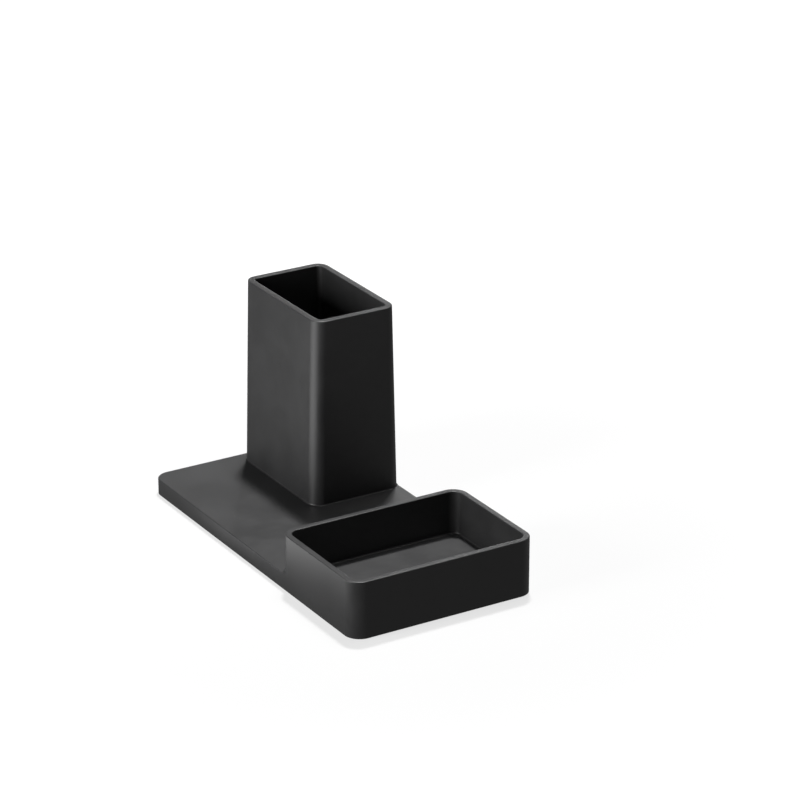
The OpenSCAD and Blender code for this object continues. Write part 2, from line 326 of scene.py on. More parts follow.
class CapWalk:
    """A rounded plate whose top face is walked up, in and down, so that rings of wall stay behind."""

    def __init__(self, name: str, plan: Plan, z: float, steps: int = CORNER_STEPS) -> None:
        """Adds a plane, gives it the outline, and leaves it selected in edit mode.

        Args:
            name: the new object's name.
            plan: the outline to start from.
            z: its height.
            steps: segments of each rounded corner.
        """
        self.middle = Vector((*plan.middle, z))
        self.height = z
        self.piece = begin(name, bpy.ops.mesh.primitive_plane_add, size=1, location=self.middle)
        bpy.ops.object.mode_set(mode="EDIT")
        bpy.ops.mesh.select_all(action="SELECT")
        self._stretch(*plan.size)
        bpy.ops.mesh.bevel(offset=plan.radius, segments=steps, affect="VERTICES", profile=0.5)
        bpy.ops.mesh.select_mode(type="FACE")
        bpy.ops.mesh.select_all(action="SELECT")

    def _stretch(self, share_x: float, share_y: float) -> None:
        """Scales what is selected about the outline's middle."""
        bpy.ops.transform.resize(value=(share_x, share_y, 1), center_override=self.middle)

    def rise(self, height: float) -> "CapWalk":
        """Lifts the cap straight up, or down for a height below zero.

        Args:
            height: how far it is lifted.

        Returns:
            This walk.
        """
        bpy.ops.mesh.extrude_region_move(TRANSFORM_OT_translate={"value": (0, 0, height)})
        self.height += height
        return self

    def lean(self, height: float, share_x: float, share_y: float) -> "CapWalk":
        """Lifts the cap and scales it, which leaves leaning walls.

        Args:
            height: how far it is lifted.
            share_x: its new length as a share of the old.
            share_y: its new width as a share of the old.

        Returns:
            This walk.
        """
        self.rise(height)
        self._stretch(share_x, share_y)
        return self

    def step(self, inward: float, height: float = 0.0) -> "CapWalk":
        """Draws the cap in, and moves it up or down.

        Args:
            inward: how far its edge moves in, or out for a distance below zero.
            height: how far it is lifted.

        Returns:
            This walk.
        """
        bpy.ops.mesh.inset(thickness=inward, depth=height, use_even_offset=True)
        self.height += height
        return self

    def _arc(self, point: Callable[[float], Pair]) -> "CapWalk":
        """Walks along a quarter circle.

        Args:
            point: gives (inward, height) for an angle from 0 to a right angle.

        Returns:
            This walk.
        """
        places = [point(turn) for turn in EDGE_TURNS]
        for before, after in zip(places, places[1:]):
            self.step(after[0] - before[0], after[1] - before[1])
        return self

    def shoulder(self, radius: float) -> "CapWalk":
        """Rounds the edge from the outer wall over to the top."""
        return self._arc(lambda a: (radius * (1 - math.cos(a)), radius * math.sin(a)))

    def lip(self, radius: float) -> "CapWalk":
        """Rounds the edge from the top down into the inner wall."""
        return self._arc(lambda a: (radius * math.sin(a), radius * (math.cos(a) - 1)))

    def root(self, radius: float) -> "CapWalk":
        """Hollow fillet from a flat below up to the outer wall."""
        return self._arc(lambda a: (radius * math.sin(a), radius * (1 - math.cos(a))))

    def turn_in(self, radius: float) -> "CapWalk":
        """On the way down, turns from the wall in to a flat: a pocket's floor or an underside."""
        return self._arc(lambda a: (radius * (1 - math.cos(a)), -radius * math.sin(a)))

    def done(self) -> Object:
        """Ends the walk, and gives the object back."""
        face_out(self.piece)
        return self.piece


def slab(name: str, plan: Plan, z0: float, z1: float, steps: int = CORNER_STEPS) -> Object:
    """A plain upright block between two heights, with rounded corners of so many steps."""
    return CapWalk(name, plan, z0, steps).rise(z1 - z0).done()


def turned(name: str, place: Vector, profile: Sequence[Pair], steps: int = ROUND_STEPS) -> Object:
    """A round piece, walked up from a disc ring by ring as if turned on a lathe.

    Args:
        name: the new object's name.
        place: the point on its axis that heights are measured from.
        profile: (radius, height) of each ring, from the bottom up.
        steps: segments round the axis.

    Returns:
        The piece.
    """
    radius, height = profile[0]
    piece = begin(name, bpy.ops.mesh.primitive_circle_add, vertices=steps, radius=radius,
                  fill_type="NGON", location=place + Vector((0, 0, height)))
    with editing(piece):
        for next_radius, next_height in profile[1:]:
            lift = (0, 0, next_height - height)
            bpy.ops.mesh.extrude_region_move(TRANSFORM_OT_translate={"value": lift})
            share = next_radius / radius
            bpy.ops.transform.resize(value=(share, share, 1), center_override=place)
            radius, height = next_radius, next_height
    face_out(piece)
    return piece


def pin(place: Vector, radius: float, z0: float, z1: float) -> Object:
    """A plain round pin between two heights above a point on the ground, for bosses and for drilling."""
    return turned("pin_part", place, [(radius, z0), (radius, z1)])


def pins(places: Iterable[Vector], radius: float, z0: float, z1: float) -> Object:
    """Pins of one size above several points, as one solid."""
    return gather([pin(place, radius, z0, z1) for place in places])


def rounded_face(radius: float, soft: float, low: float) -> List[Pair]:
    """A turned piece's face, with the rounded edge round it.

    Args:
        radius: the piece's radius.
        soft: the edge's radius.
        low: the height of the face.

    Returns:
        (radius, height) of each ring, from the face out and up.
    """
    return [(radius - soft + soft * math.sin(a), low + soft - soft * math.cos(a)) for a in EDGE_TURNS]


def cut_off(piece: Object, x: float = 0.0, y: float = 0.0) -> None:
    """Cuts away what lies further out than an upright plane square to the X or the Y axis.

    Args:
        piece: the piece that is cut, and closed again.
        x: where the plane crosses the X axis, for one that does.
        y: where it crosses the Y axis.
    """
    with editing(piece):
        bpy.ops.mesh.bisect(plane_co=(x, y, 0), plane_no=Vector((x, y, 0)).normalized(), clear_outer=True,
                            use_fill=True, threshold=ON_PLANE)


def put(tree: NodeTree, kind: str, inputs: Dict[Any, Any], **settings: Any) -> Node:
    """Adds a shader node, sets it up and fills its inputs.

    Args:
        tree: the nodes that it joins.
        kind: the node's type.
        inputs: what each input takes, by its name or number: an output to link, or a value.
        **settings: the node's own settings.

    Returns:
        The node.
    """
    node = tree.nodes.new(kind)
    for setting, value in settings.items():
        setattr(node, setting, value)
    for key, feed in inputs.items():
        if isinstance(feed, NodeSocket):
            tree.links.new(feed, node.inputs[key])
        else:
            node.inputs[key].default_value = feed
    return node


def ramp(tree: NodeTree, value: NodeSocket, start: Pair, end: Pair) -> NodeSocket:
    """A soft step between two levels.

    Args:
        tree: the nodes that it joins.
        value: the output that is stepped.
        start: (value, level) where the step starts.
        end: (value, level) where it ends.

    Returns:
        The level's output.
    """
    limits = {"From Min": start[0], "To Min": start[1], "From Max": end[0], "To Max": end[1]}
    node = put(tree, "ShaderNodeMapRange", {"Value": value, **limits}, interpolation_type="SMOOTHSTEP")
    return node.outputs["Result"]


def distance_of(tree: NodeTree, place: NodeSocket) -> NodeSocket:
    """The distance of a place from the middle."""
    return put(tree, "ShaderNodeVectorMath", {0: place}, operation="LENGTH").outputs["Value"]


def new_group(name: str, inputs: Sequence[str], outputs: Sequence[str]) -> Tuple[NodeTree, Any, Any]:
    """Starts a shader node group that takes a place and some values, and gives values.

    Args:
        name: the group's name.
        inputs: names of the value inputs; the place comes first, as Place.
        outputs: names of the value outputs.

    Returns:
        The group, the sockets that give what comes in, and those that take what goes out.
    """
    group = bpy.data.node_groups.new(name, "ShaderNodeTree")
    group.interface.new_socket("Place", in_out="INPUT", socket_type="NodeSocketVector")
    for way, names in (("INPUT", inputs), ("OUTPUT", outputs)):
        for socket in names:
            group.interface.new_socket(socket, in_out=way, socket_type="NodeSocketFloat")
    return group, group.nodes.new("NodeGroupInput").outputs, group.nodes.new("NodeGroupOutput").inputs


@lru_cache(maxsize=None)
def grain_group() -> NodeTree:
    """The fine grain of a moulded surface: relief height and a slow tone mask.

    Returns:
        The group, built once.
    """
    scales = {"Relief": "Grains per metre", "Clouds": "Clouds per metre"}
    group, given, masks = new_group("moulded_grain", tuple(scales.values()), tuple(scales))
    hollow, crest = (0.3, 0.0), (0.7, 1.0)
    for mask, scale in scales.items():
        noise = put(group, "ShaderNodeTexNoise", {
            "Vector": given["Place"], "Scale": given[scale], "Detail": 3.0, "Roughness": 0.6})
        group.links.new(ramp(group, noise.outputs["Fac"], hollow, crest), masks[mask])
    return group


@lru_cache(maxsize=None)
def pore_group() -> NodeTree:
    """Small round pits, as in rubber: a mask that is 0 in a pit and 1 between them.

    Returns:
        The group, built once.
    """
    group, given, masks = new_group("pores", ("Pores per metre",), ("Between",))
    cells = put(group, "ShaderNodeTexVoronoi", {
        "Vector": given["Place"], "Scale": given["Pores per metre"]})
    pit, rim = (0.12, 0.0), (0.34, 1.0)
    group.links.new(ramp(group, cells.outputs["Distance"], pit, rim), masks["Between"])
    return group


@lru_cache(maxsize=None)
def spangle_group() -> NodeTree:
    """The crystal patches of zinc plating: a tone for each patch, and fine drawn lines.

    Returns:
        The group, built once.
    """
    group, given, masks = new_group("zinc_spangle", ("Crystals per metre", "Lines per metre"),
                                    ("Patch", "Lines"))
    cells = put(group, "ShaderNodeTexVoronoi", {
        "Vector": given["Place"], "Scale": given["Crystals per metre"]})
    split = put(group, "ShaderNodeSeparateColor", {"Color": cells.outputs["Color"]})
    group.links.new(split.outputs["Red"], masks["Patch"])
    drawn = (0.15, 0.15, 1.0)
    squash = put(group, "ShaderNodeMapping", {"Vector": given["Place"], "Scale": drawn})
    streaks = put(group, "ShaderNodeTexNoise", {
        "Vector": squash.outputs["Vector"], "Scale": given["Lines per metre"]})
    group.links.new(streaks.outputs["Fac"], masks["Lines"])
    return group


class Painter:
    """Puts a material together: one principled shader with masks that drive its inputs."""

    def __init__(self, name: str) -> None:
        """Starts a material.

        Args:
            name: the material's name.
        """
        self.material = bpy.data.materials.new(name)
        self.material.use_nodes = True
        self.tree = self.material.node_tree
        self.shader = self.tree.nodes["Principled BSDF"]
        self.place = self.tree.nodes.new("ShaderNodeTexCoord").outputs["Object"]

    def pattern(self, group: NodeTree, *values: float) -> Any:
        """Adds a shared pattern on the object's own coordinates, and gives its masks.

        Args:
            group: the pattern's group.
            *values: what its inputs after Place take.

        Returns:
            The outputs, by name.
        """
        inputs = dict(enumerate((self.place, *values)))
        return put(self.tree, "ShaderNodeGroup", inputs, node_tree=group).outputs

    def colour(self, mask: NodeSocket, low: Sequence[float], high: Sequence[float]) -> None:
        """Lets a mask choose between two base colours.

        Args:
            mask: the mask.
            low: the colour where it is 0.
            high: the colour where it is 1.
        """
        ends = {"Factor": mask, "A": (*low, 1), "B": (*high, 1)}
        shade = put(self.tree, "ShaderNodeMix", ends, data_type="RGBA")
        self.tree.links.new(shade.outputs["Result"], self.shader.inputs["Base Color"])

    def roughness(self, mask: NodeSocket, low: float, high: float) -> None:
        """Lets a mask choose between two roughnesses."""
        tone = put(self.tree, "ShaderNodeMapRange", {"Value": mask, "To Min": low, "To Max": high})
        self.tree.links.new(tone.outputs["Result"], self.shader.inputs["Roughness"])

    def relief(self, mask: NodeSocket, depth: float) -> None:
        """Turns a mask into fine relief of a depth."""
        bump = put(self.tree, "ShaderNodeBump", {"Height": mask, "Distance": depth})
        self.tree.links.new(bump.outputs["Normal"], self.shader.inputs["Normal"])


@dataclass(frozen=True)
class MouldedPlastic:
    """Black plastic from a lightly textured mould."""

    name: str
    colour: Colour
    roughness: Pair
    grains_per_metre: float = 3400.0
    clouds_per_metre: float = 45.0
    grain_depth: float = 0.005 * MM
    spread: float = 0.12
    refraction: float = 1.5

    def build(self) -> Material:
        """Makes the plastic.

        Returns:
            The material.
        """
        paint = Painter(self.name)
        paint.shader.inputs["IOR"].default_value = self.refraction
        grain = paint.pattern(grain_group(), self.grains_per_metre, self.clouds_per_metre)
        low = [part * (1 - self.spread) for part in self.colour]
        high = [part * (1 + self.spread) for part in self.colour]
        paint.colour(grain["Clouds"], low, high)
        paint.roughness(grain["Clouds"], *self.roughness)
        paint.relief(grain["Relief"], self.grain_depth)
        return paint.material


@dataclass(frozen=True)
class Rubber:
    """Dull black rubber with small pits, whose insides are painted darker: painted shade."""

    name: str = "dull_black_rubber"
    # The colour inside the pits: painted shade, darker than the rubber between them
    pit_shade_colour: Colour = (0.010, 0.010, 0.010)
    top_colour: Colour = (0.020, 0.020, 0.019)
    roughness: Pair = (0.62, 0.80)
    pores_per_metre: float = 1900.0
    pore_depth: float = 0.03 * MM
    grains_per_metre: float = 4000.0
    clouds_per_metre: float = 160.0

    def build(self) -> Material:
        """Makes the rubber.

        Returns:
            The material.
        """
        paint = Painter(self.name)
        pores = paint.pattern(pore_group(), self.pores_per_metre)
        grain = paint.pattern(grain_group(), self.grains_per_metre, self.clouds_per_metre)
        # The pits take the darker colour as painted shade
        paint.colour(pores["Between"], self.pit_shade_colour, self.top_colour)
        paint.roughness(grain["Clouds"], *self.roughness)
        paint.relief(pores["Between"], self.pore_depth)
        return paint.material


@dataclass(frozen=True)
class ZincSteel:
    """Zinc-plated steel, in crystal patches of slightly different tone."""

    name: str = "zinc_plated_steel"
    dark: Colour = (0.44, 0.45, 0.47)
    light: Colour = (0.60, 0.61, 0.63)
    roughness: Pair = (0.24, 0.42)
    crystals_per_metre: float = 2600.0
    lines_per_metre: float = 9000.0
    line_depth: float = 0.004 * MM

    def build(self) -> Material:
        """Makes the steel.

        Returns:
            The material.
        """
        paint = Painter(self.name)
        paint.shader.inputs["Metallic"].default_value = 1.0
        spangle = paint.pattern(spangle_group(), self.crystals_per_metre, self.lines_per_metre)
        paint.colour(spangle["Patch"], self.dark, self.light)
        paint.roughness(spangle["Patch"], *self.roughness)
        paint.relief(spangle["Lines"], self.line_depth)
        return paint.material


def below(node: str) -> Vector:
    """The point on the ground below a node's middle."""
    low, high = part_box(node)
    return Vector(((low.x + high.x) / 2, (low.y + high.y) / 2, 0))


@dataclass
class Fixings:
    """Where feet, screws and pegs sit, and the sizes of their holes."""

    peg_inset: float = 9 * MM
    cover_core: float = 1.27 * MM
    cover_hole: float = 1.45 * MM
    cover_head: float = Head.COUNTERSUNK.value
    tower_core: float = 1.52 * MM
    tower_hole: float = 1.7 * MM
    tower_head: float = Head.PAN.value
    peg_radius: float = 2 * MM
    peg_hole: float = 2.1 * MM
    depth_slack: float = 0.2 * MM

    def __post_init__(self) -> None:
        """Takes the places and the screws' tips from the frame; a cover screw lies above each foot."""
        self.feet = {corner: below(corner.node("foot")) for corner in Corner}
        self.tower_screws = {corner: below(corner.node("tower_screw")) for corner in Corner}
        self.cover_tip_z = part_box("cover_screw_front_left")[1].z + self.depth_slack
        self.tower_tip_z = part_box("tower_screw_front_left")[1].z + self.depth_slack
        low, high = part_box("cup_floor")
        reach = Vector(((high.x - low.x) / 2 - self.peg_inset, 0, 0))
        middle = sum(self.tower_screws.values(), Vector()) / len(self.tower_screws)
        self.pegs = [middle - reach, middle + reach]


@dataclass
class Base:
    """The plate with its tray, one moulding, hollow and ribbed underneath."""

    finish: Material
    corner_radius: float = 8 * MM
    plate_height: float = 8.3 * MM
    plate_wall: float = 3 * MM
    edge_radius: float = 0.6 * MM
    tray_length: float = 69 * MM
    wall: float = 3.2 * MM
    lip_radius: float = 0.5 * MM
    floor_height: float = 6.7 * MM
    floor_wall: float = 3 * MM
    draft: float = 0.4 * MM
    bowl_radius: float = 1 * MM
    root_radius: float = 2 * MM
    root_sunk: float = 0.01 * MM
    skirt: float = 3 * MM
    ledge: float = 1.4 * MM
    rib_wall: float = 1.5 * MM
    rib_pitch: float = 16.5 * MM
    boss_wall: float = 2.1 * MM

    def __post_init__(self) -> None:
        """Takes the outlines from the frame."""
        low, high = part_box("base_shell")
        self.low_z, self.rim_z = low.z, high.z
        self.plate_z = low.z + self.plate_height
        self.above_z = self.plate_z + OVERRUN
        self.under_z = self.plate_z - self.plate_wall
        self.tray_under_z = low.z + self.floor_height - self.floor_wall
        self.cover_top_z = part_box("bottom_cover")[1].z
        self.outline = Plan(low.x, high.x, low.y, high.y, self.corner_radius)
        self.tray = replace(self.outline, x0=high.x - self.tray_length)

    def _block(self, name: str, plan: Plan, top_z: float) -> Object:
        """A block from the underside up to a height, with a rounded upper edge."""
        walk = CapWalk(name, plan, self.low_z).rise(top_z - self.low_z - self.edge_radius)
        return walk.shoulder(self.edge_radius).done()

    def _tray_pocket(self) -> Object:
        """The tray's inside, from above the rim down to the floor.

        Returns:
            The solid to cut out.
        """
        mouth = self.tray.grown(self.lip_radius - self.wall)
        walk = CapWalk("pocket_part", mouth, self.rim_z + OVERRUN).rise(-OVERRUN).lip(self.lip_radius)
        bowl_top = self.low_z + self.floor_height + self.bowl_radius
        return walk.step(self.draft, bowl_top - walk.height).turn_in(self.bowl_radius).done()

    def _tray_root(self) -> Object:
        """The hollow fillet where the tray's wall rises from the plate.

        Returns:
            A mound that reaches from inside the plate up to the tray.
        """
        sunk = self.plate_height / 2
        foot = self.tray.grown(self.root_radius - self.root_sunk)
        walk = CapWalk("tray_root_part", foot, self.plate_z - sunk)
        mound = walk.rise(sunk - self.root_sunk).root(self.root_radius).done()
        side = self.outline.y1 - self.root_sunk
        cut_off(mound, y=side)
        cut_off(mound, y=-side)
        cut_off(mound, x=self.tray.x0 + self.corner_radius)
        return mound

    def _ribs(self, along_x: bool) -> Object:
        """Ribs that hang under the plate, copied out both ways from the middle one.

        Args:
            along_x: whether they run along X.

        Returns:
            The ribs.
        """
        length, width = self.outline.size
        run, span = (length, width) if along_x else (width, length)
        count = int((span - 2 * self.skirt) / self.rib_pitch / 2)
        low_z = self.cover_top_z - OVERRUN / 2
        height, place = self.plate_z - low_z, (0, 0, (low_z + self.plate_z) / 2)
        size = (run, self.rib_wall, height) if along_x else (self.rib_wall, run, height)
        pitch = (0, self.rib_pitch, 0) if along_x else (self.rib_pitch, 0, 0)
        ribs = begin("ribs_part", bpy.ops.mesh.primitive_cube_add, size=1, location=place)
        with editing(ribs):
            bpy.ops.transform.resize(value=size, center_override=place)
            bpy.ops.transform.translate(value=[-count * part for part in pitch])
        modify(ribs, "ARRAY", count=2 * count + 1, use_relative_offset=False,
               use_constant_offset=True, constant_offset_displace=pitch)
        return ribs

    def _underside(self, fixings: Fixings) -> Object:
        """What is cut out from below: the hollow less ribs and bosses, and the cover's recess.

        Args:
            fixings: where the screws go, and their sizes.

        Returns:
            The solid to cut out.
        """
        opening = self.outline.grown(-self.skirt)
        hollow = slab("hollow_part", opening, self.cover_top_z - OVERRUN, self.tray_under_z)
        deep = slab("deep_part", opening, self.cover_top_z, self.under_z)
        cut_off(deep, x=self.tray.x0)
        join_solids(hollow, deep, Joining.ADD)
        ribs = self._ribs(True)
        join_solids(ribs, self._ribs(False), Joining.ADD)
        well = fixings.tower_head + self.rib_wall
        wells = pins(fixings.tower_screws.values(), well, self.low_z, self.above_z)
        join_solids(ribs, wells, Joining.CUT)
        bosses = pins(fixings.feet.values(), fixings.cover_core + self.boss_wall,
                      self.cover_top_z - OVERRUN / 4, self.plate_z - OVERRUN / 4)
        join_solids(ribs, bosses, Joining.ADD)
        join_solids(hollow, ribs, Joining.CUT)
        seat = self.outline.grown(self.ledge - self.skirt)
        join_solids(hollow, slab("seat_part", seat, self.low_z - OVERRUN, self.cover_top_z), Joining.ADD)
        return hollow

    def build(self, fixings: Fixings) -> None:
        """Models the moulding and reports it.

        Args:
            fixings: where the screws and pegs go, and their sizes.
        """
        # The plate ends inside the tray
        shell = self._block("base_shell_visual", replace(self.outline, x1=self.tray.middle[0]), self.plate_z)
        join_solids(shell, self._tray_root(), Joining.ADD)
        join_solids(shell, self._block("tray_part", self.tray, self.rim_z), Joining.ADD)
        join_solids(shell, self._tray_pocket(), Joining.CUT)
        join_solids(shell, self._underside(fixings), Joining.CUT)
        drills = []
        for corner in Corner:
            drills.append(pin(fixings.feet[corner], fixings.cover_core, self.low_z, fixings.cover_tip_z))
            drills.append(pin(fixings.tower_screws[corner], fixings.tower_hole, self.low_z, self.above_z))
        drills.append(pins(fixings.pegs, fixings.peg_hole, self.low_z, self.above_z))
        join_solids(shell, gather(drills), Joining.CUT)
        dress(shell, self.finish)
        report(shell, "base_shell")


@dataclass
class PenCup:
    """The tower that holds the pens: an open tube with leaning faces."""

    finish: Material
    root_radius: float = 0.7 * MM
    end_gap: float = 3.7 * MM
    length: float = 73.6 * MM
    width: float = 50.4 * MM
    wall: float = 3.6 * MM
    corner_radius: float = 6.5 * MM
    lean_x: float = 0.3 * MM
    lean_y: float = 2.4 * MM
    edge_radius: float = 0.6 * MM
    lip_radius: float = 0.5 * MM
    groove_depth: float = 0.65 * MM
    groove_height: float = 1.5 * MM
    snap_rise: float = 3 * MM

    def __post_init__(self) -> None:
        """Takes the tower's place from the frame."""
        base_low, base_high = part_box("base_shell")
        low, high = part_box("pen_tower")
        self.foot_z, self.rim_z = low.z, high.z
        x0 = base_low.x + self.end_gap
        self.foot = Plan(x0, x0 + self.length, base_high.y - self.width, base_high.y, self.corner_radius)
        self.bore = self.foot.grown(-self.wall)

    def leant(self, plan: Plan, rise: float) -> Plan:
        """What an outline at the foot becomes further up, as the faces lean.

        Args:
            plan: the outline at the foot.
            rise: the height above the foot.

        Returns:
            The outline at that height.
        """
        share = rise / (self.rim_z - self.foot_z)
        dx, dy = self.lean_x * share, self.lean_y * share
        return Plan(plan.x0 + dx, plan.x1 - dx, plan.y0 + dy, plan.y1 - dy, plan.radius)

    def snap(self, depth: float, height: float) -> Object:
        """A flat block across the bore where the cup floor snaps in, for the groove or the bead.

        Args:
            depth: how far it reaches into the tube's wall.
            height: its height.

        Returns:
            The block.
        """
        middle = self.foot_z + self.snap_rise
        ring = self.leant(self.bore, self.snap_rise).grown(depth)
        return slab("snap_part", ring, middle - height / 2, middle + height / 2)

    def _tube(self) -> Object:
        """The tube, from its foot up over the rim and down inside.

        Returns:
            The tube, open at both ends.
        """
        (length, width), (inner_x, inner_y) = self.foot.size, self.bore.size
        walk = CapWalk("pen_tower_visual", self.foot.grown(self.root_radius), self.foot_z)
        walk.root(self.root_radius)
        rise = self.rim_z - self.edge_radius - walk.height
        walk.lean(rise, 1 - 2 * self.lean_x / length, 1 - 2 * self.lean_y / width)
        walk.shoulder(self.edge_radius)
        walk.step(self.wall - self.edge_radius - self.lip_radius).lip(self.lip_radius)
        share_x, share_y = inner_x / (inner_x - 2 * self.lean_x), inner_y / (inner_y - 2 * self.lean_y)
        walk.lean(self.foot_z - walk.height, share_x, share_y)
        # The cap and the plate that the walk began with make way for a ring between the two walls
        bpy.ops.mesh.delete(type="FACE")
        select(walk.piece, Element.FACE,
               lambda face: all(abs(point.co.z - self.foot_z) < WELD for point in face.verts))
        bpy.ops.mesh.delete(type="ONLY_FACE")
        select(walk.piece, Element.EDGE, is_open)
        bpy.ops.mesh.bridge_edge_loops()
        return walk.done()

    def build(self) -> None:
        """Models the tower and reports it."""
        tower = self._tube()
        cut_off(tower, y=self.foot.y1)
        join_solids(tower, self.snap(self.groove_depth, self.groove_height), Joining.CUT)
        dress(tower, self.finish)
        report(tower, "pen_tower")


@dataclass
class CupFloor:
    """The pan that closes the tower's foot, with its bosses and pegs."""

    finish: Material
    slack: float = 0.15 * MM
    floor_wall: float = 2.5 * MM
    skirt: float = 1.8 * MM
    boss_wall: float = 2.1 * MM
    edge_radius: float = 0.3 * MM
    bead_depth: float = 0.5 * MM
    bead_height: float = 1.2 * MM
    peg_depth: float = 3 * MM

    def _pan(self, cup: PenCup, top_z: float) -> Object:
        """The pan with its skirt and snap bead.

        Args:
            cup: the tower that it closes.
            top_z: the height of its top.

        Returns:
            The pan.
        """
        rise = top_z - cup.foot_z
        outside = cup.bore.grown(-self.slack)
        (length, width), (top_length, top_width) = outside.size, cup.leant(outside, rise).size
        walk = CapWalk("cup_floor_visual", outside, cup.foot_z)
        walk.lean(rise - self.edge_radius, top_length / length, top_width / width)
        pan = walk.shoulder(self.edge_radius).done()
        join_solids(pan, cup.snap(self.bead_depth, self.bead_height), Joining.ADD)
        inside = outside.grown(-self.skirt)
        hollow = slab("hollow_part", inside, cup.foot_z - OVERRUN, top_z - self.floor_wall)
        join_solids(pan, hollow, Joining.CUT)
        return pan

    def build(self, cup: PenCup, fixings: Fixings) -> None:
        """Models the pan and reports it.

        Args:
            cup: the tower that it closes.
            fixings: where the screws and pegs go, and their sizes.
        """
        top_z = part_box("cup_floor")[1].z
        pan = self._pan(cup, top_z)
        boss_z = top_z - self.floor_wall / 2
        screws = list(fixings.tower_screws.values())
        boss_radius = fixings.tower_core + self.boss_wall
        join_solids(pan, pins(screws + fixings.pegs, boss_radius, cup.foot_z, boss_z), Joining.ADD)
        tip, soft, radius = cup.foot_z - self.peg_depth, self.edge_radius, fixings.peg_radius
        peg = [(radius - soft, tip), (radius, tip + soft), (radius, boss_z - soft)]
        pegs = gather([turned("peg_part", place, peg) for place in fixings.pegs])
        join_solids(pan, pegs, Joining.ADD)
        cores = pins(screws, fixings.tower_core, cup.foot_z - OVERRUN, fixings.tower_tip_z)
        join_solids(pan, cores, Joining.CUT)
        dress(pan, self.finish)
        report(pan, "cup_floor")


@dataclass
class BottomCover:
    """The flat cover under the base, with a recess for each foot."""

    finish: Material
    inset: float = 1.75 * MM
    edge_radius: float = 0.25 * MM
    foot_recess: float = 1 * MM
    foot_slack: float = 0.15 * MM

    def build(self, base: Base, fixings: Fixings) -> None:
        """Models the cover and reports it.

        Args:
            base: the moulding that it closes.
            fixings: where the screws go, and their sizes.
        """
        low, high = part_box("bottom_cover")
        walk = CapWalk("bottom_cover_visual", base.outline.grown(-self.inset), high.z)
        cover = walk.rise(low.z + self.edge_radius - high.z).turn_in(self.edge_radius).done()
        ceiling = low.z + self.foot_recess
        foot_low, foot_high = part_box("foot_front_left")
        recess = (foot_high.x - foot_low.x) / 2 + self.foot_slack
        head, hole = fixings.cover_head + fixings.depth_slack, fixings.cover_hole
        sink = [(recess, low.z - OVERRUN), (recess, ceiling), (head, ceiling),
                (hole, ceiling + head - hole), (hole, high.z + OVERRUN)]
        sinks = gather([turned("sink_part", place, sink) for place in fixings.feet.values()])
        join_solids(cover, sinks, Joining.CUT)
        dress(cover, self.finish)
        report(cover, "bottom_cover")


@dataclass
class Foot:
    """A die-cut rubber pad with a soft lower edge and a shallow ring in its sole."""

    finish: Material
    edge_radius: float = 0.25 * MM
    ring_depth: float = 0.12 * MM
    ring_share: float = 0.6

    def build(self, fixings: Fixings) -> None:
        """Models one pad, copies it to the other corners, and reports all four.

        Args:
            fixings: where the pads go.
        """
        node = Corner.FRONT_LEFT.node("foot")
        low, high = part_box(node)
        radius, soft = (high.x - low.x) / 2, self.edge_radius
        hollow = radius * self.ring_share
        sole = [(hollow, low.z + self.ring_depth), (hollow + soft, low.z)]
        profile = sole + rounded_face(radius, soft, low.z) + [(radius, high.z)]
        pad = turned(f"{node}_visual", fixings.feet[Corner.FRONT_LEFT], profile)
        dress(pad, self.finish)
        spread(pad, "foot", "foot_rubber", fixings.feet)


